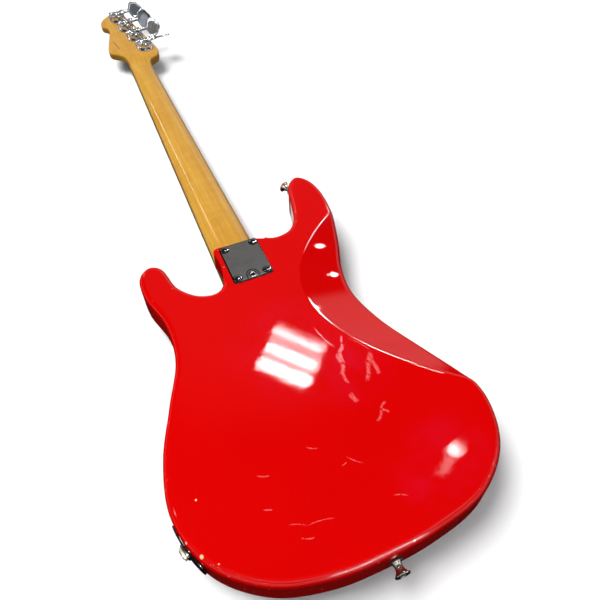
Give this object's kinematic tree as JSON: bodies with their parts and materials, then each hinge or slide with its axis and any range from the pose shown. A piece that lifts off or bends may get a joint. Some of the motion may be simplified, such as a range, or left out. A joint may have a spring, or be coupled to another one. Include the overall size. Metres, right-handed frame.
{
  "type": "electric bass guitar",
  "caption": "Solid-body bass guitar with a bolt-on neck, contoured red body, geared tuning keys, sliding bridge saddles and turning knobs.",
  "frame": {"origin": "centre of the bounding box footprint, at the plane the instrument lies on, face down", "axes": "+Y along the neck towards the headstock, +Z out of the back of the body, +X towards the bass side with the tuning keys"},
  "size_m": [0.3414, 1.1658, 0.0684],
  "materials": {
    "red_lacquer": "solid wood under thick gloss red lacquer",
    "maple": "amber gloss lacquered maple",
    "rosewood": "satin oiled rosewood",
    "bone": "cream moulded nut",
    "steel": "plain machined steel",
    "guard_white": "off-white sheet plastic",
    "chrome": "polished chrome plating",
    "nickel_string": "round-wound nickel steel",
    "black_plastic": "black moulded plastic",
    "coil": "wound coil in a black bobbin",
    "brass": "bare brass",
    "nickel": "polished nickel plating"
  },
  "bodies": {
    "instrument": {"body": "red_lacquer", "neck": "maple", "fingerboard": "rosewood", "nut": "bone", "truss_rod": "steel", "pickguard": "guard_white", "neck_plate": "chrome", "neck_bolt_1": "chrome", "neck_bolt_2": "chrome", "neck_bolt_3": "chrome", "neck_bolt_4": "chrome", "bridge_plate": "chrome", "string_1": "nickel_string", "string_2": "nickel_string", "string_3": "nickel_string", "string_4": "nickel_string", "tuner_plate_1": "chrome", "tuner_ferrule_1": "chrome", "tuner_plate_2": "chrome", "tuner_ferrule_2": "chrome", "tuner_plate_3": "chrome", "tuner_ferrule_3": "chrome", "tuner_plate_4": "chrome", "tuner_ferrule_4": "chrome", "string_tree": "chrome", "pickup_cover_bass": "black_plastic", "pickup_coil_bass": "coil", "pickup_cover_treble": "black_plastic", "pickup_coil_treble": "coil", "volume_pot": "steel", "tone_pot": "steel", "jack_plate": "chrome", "jack_socket": "steel", "jack_nut": "brass", "strap_button_1": "nickel", "strap_screw_1": "steel", "strap_button_2": "nickel", "strap_screw_2": "steel"},
    "key_1": {"tuner_key_1": "chrome"},
    "post_1": {"tuner_post_1": "chrome"},
    "key_2": {"tuner_key_2": "chrome"},
    "post_2": {"tuner_post_2": "chrome"},
    "key_3": {"tuner_key_3": "chrome"},
    "post_3": {"tuner_post_3": "chrome"},
    "key_4": {"tuner_key_4": "chrome"},
    "post_4": {"tuner_post_4": "chrome"},
    "intonation_1": {"intonation_screw_1": "steel"},
    "saddle_1": {"saddle_1": "steel"},
    "intonation_2": {"intonation_screw_2": "steel"},
    "saddle_2": {"saddle_2": "steel"},
    "intonation_3": {"intonation_screw_3": "steel"},
    "saddle_3": {"saddle_3": "steel"},
    "intonation_4": {"intonation_screw_4": "steel"},
    "saddle_4": {"saddle_4": "steel"},
    "volume": {"volume_shaft": "brass", "volume_knob": "chrome"},
    "tone": {"tone_shaft": "brass", "tone_knob": "chrome"},
    "truss_nut": {"truss_rod_nut": "steel"},
    "tilt_screw": {"micro_tilt_screw": "steel"}
  },
  "joints": [
    {"name": "key_1_turn", "type": "hinge", "parent": "instrument", "child": "key_1", "pos_m": [0.02681, 0.43982, 0.043], "axis": [1, 0, 0], "continuous": true},
    {"name": "post_1_turn", "type": "hinge", "parent": "instrument", "child": "post_1", "pos_m": [0.02681, 0.42402, 0.043], "axis": [0, 0, 1], "continuous": true},
    {"name": "key_2_turn", "type": "hinge", "parent": "instrument", "child": "key_2", "pos_m": [0.01912, 0.48182, 0.043], "axis": [1, 0, 0], "continuous": true},
    {"name": "post_2_turn", "type": "hinge", "parent": "instrument", "child": "post_2", "pos_m": [0.01912, 0.46602, 0.043], "axis": [0, 0, 1], "continuous": true},
    {"name": "key_3_turn", "type": "hinge", "parent": "instrument", "child": "key_3", "pos_m": [0.01151, 0.52382, 0.043], "axis": [1, 0, 0], "continuous": true},
    {"name": "post_3_turn", "type": "hinge", "parent": "instrument", "child": "post_3", "pos_m": [0.01151, 0.50802, 0.043], "axis": [0, 0, 1], "continuous": true},
    {"name": "key_4_turn", "type": "hinge", "parent": "instrument", "child": "key_4", "pos_m": [0.00381, 0.56582, 0.043], "axis": [1, 0, 0], "continuous": true},
    {"name": "post_4_turn", "type": "hinge", "parent": "instrument", "child": "post_4", "pos_m": [0.00381, 0.55002, 0.043], "axis": [0, 0, 1], "continuous": true},
    {"name": "saddle_1_slide", "type": "slide", "parent": "instrument", "child": "saddle_1", "axis": [0, 1, 0], "range_m": [-0.0042, 0.0042]},
    {"name": "intonation_1_turn", "type": "hinge", "parent": "instrument", "child": "intonation_1", "pos_m": [0.03802, -0.49598, 0.0101], "axis": [0, 1, 0], "range_deg": [-2165, 2165]},
    {"name": "saddle_2_slide", "type": "slide", "parent": "instrument", "child": "saddle_2", "axis": [0, 1, 0], "range_m": [-0.0042, 0.0042]},
    {"name": "intonation_2_turn", "type": "hinge", "parent": "instrument", "child": "intonation_2", "pos_m": [0.01902, -0.49598, 0.0101], "axis": [0, 1, 0], "range_deg": [-2165, 2165]},
    {"name": "saddle_3_slide", "type": "slide", "parent": "instrument", "child": "saddle_3", "axis": [0, 1, 0], "range_m": [-0.0042, 0.0042]},
    {"name": "intonation_3_turn", "type": "hinge", "parent": "instrument", "child": "intonation_3", "pos_m": [0.00002, -0.49598, 0.0101], "axis": [0, 1, 0], "range_deg": [-2165, 2165]},
    {"name": "saddle_4_slide", "type": "slide", "parent": "instrument", "child": "saddle_4", "axis": [0, 1, 0], "range_m": [-0.0042, 0.0042]},
    {"name": "intonation_4_turn", "type": "hinge", "parent": "instrument", "child": "intonation_4", "pos_m": [-0.01898, -0.49598, 0.0101], "axis": [0, 1, 0], "range_deg": [-2165, 2165]},
    {"name": "volume_turn", "type": "hinge", "parent": "instrument", "child": "volume", "pos_m": [-0.08368, -0.45398, 0.0085], "axis": [0, 0, 1], "range_deg": [-300, 0]},
    {"name": "tone_turn", "type": "hinge", "parent": "instrument", "child": "tone", "pos_m": [-0.10669, -0.49498, 0.0085], "axis": [0, 0, 1], "range_deg": [-300, 0]},
    {"name": "truss_nut_turn", "type": "hinge", "parent": "instrument", "child": "truss_nut", "pos_m": [0.00632, 0.39402, 0.0227], "axis": [0, 1, 0], "range_deg": [-180, 180]},
    {"name": "tilt_screw_turn", "type": "hinge", "parent": "instrument", "child": "tilt_screw", "pos_m": [0.00632, -0.21238, 0.0505], "axis": [0, 0, 1], "range_deg": [-180, 180]}
  ],
  "couplings": [
    {"joint": "post_1_turn", "follows": "key_1_turn", "ratio": 0.05},
    {"joint": "post_2_turn", "follows": "key_2_turn", "ratio": 0.05},
    {"joint": "post_3_turn", "follows": "key_3_turn", "ratio": 0.05},
    {"joint": "post_4_turn", "follows": "key_4_turn", "ratio": 0.05},
    {"joint": "intonation_1_turn", "follows": "saddle_1_slide", "rad_per_m": -8976},
    {"joint": "intonation_2_turn", "follows": "saddle_2_slide", "rad_per_m": -8976},
    {"joint": "intonation_3_turn", "follows": "saddle_3_slide", "rad_per_m": -8976},
    {"joint": "intonation_4_turn", "follows": "saddle_4_slide", "rad_per_m": -8976}
  ]
}
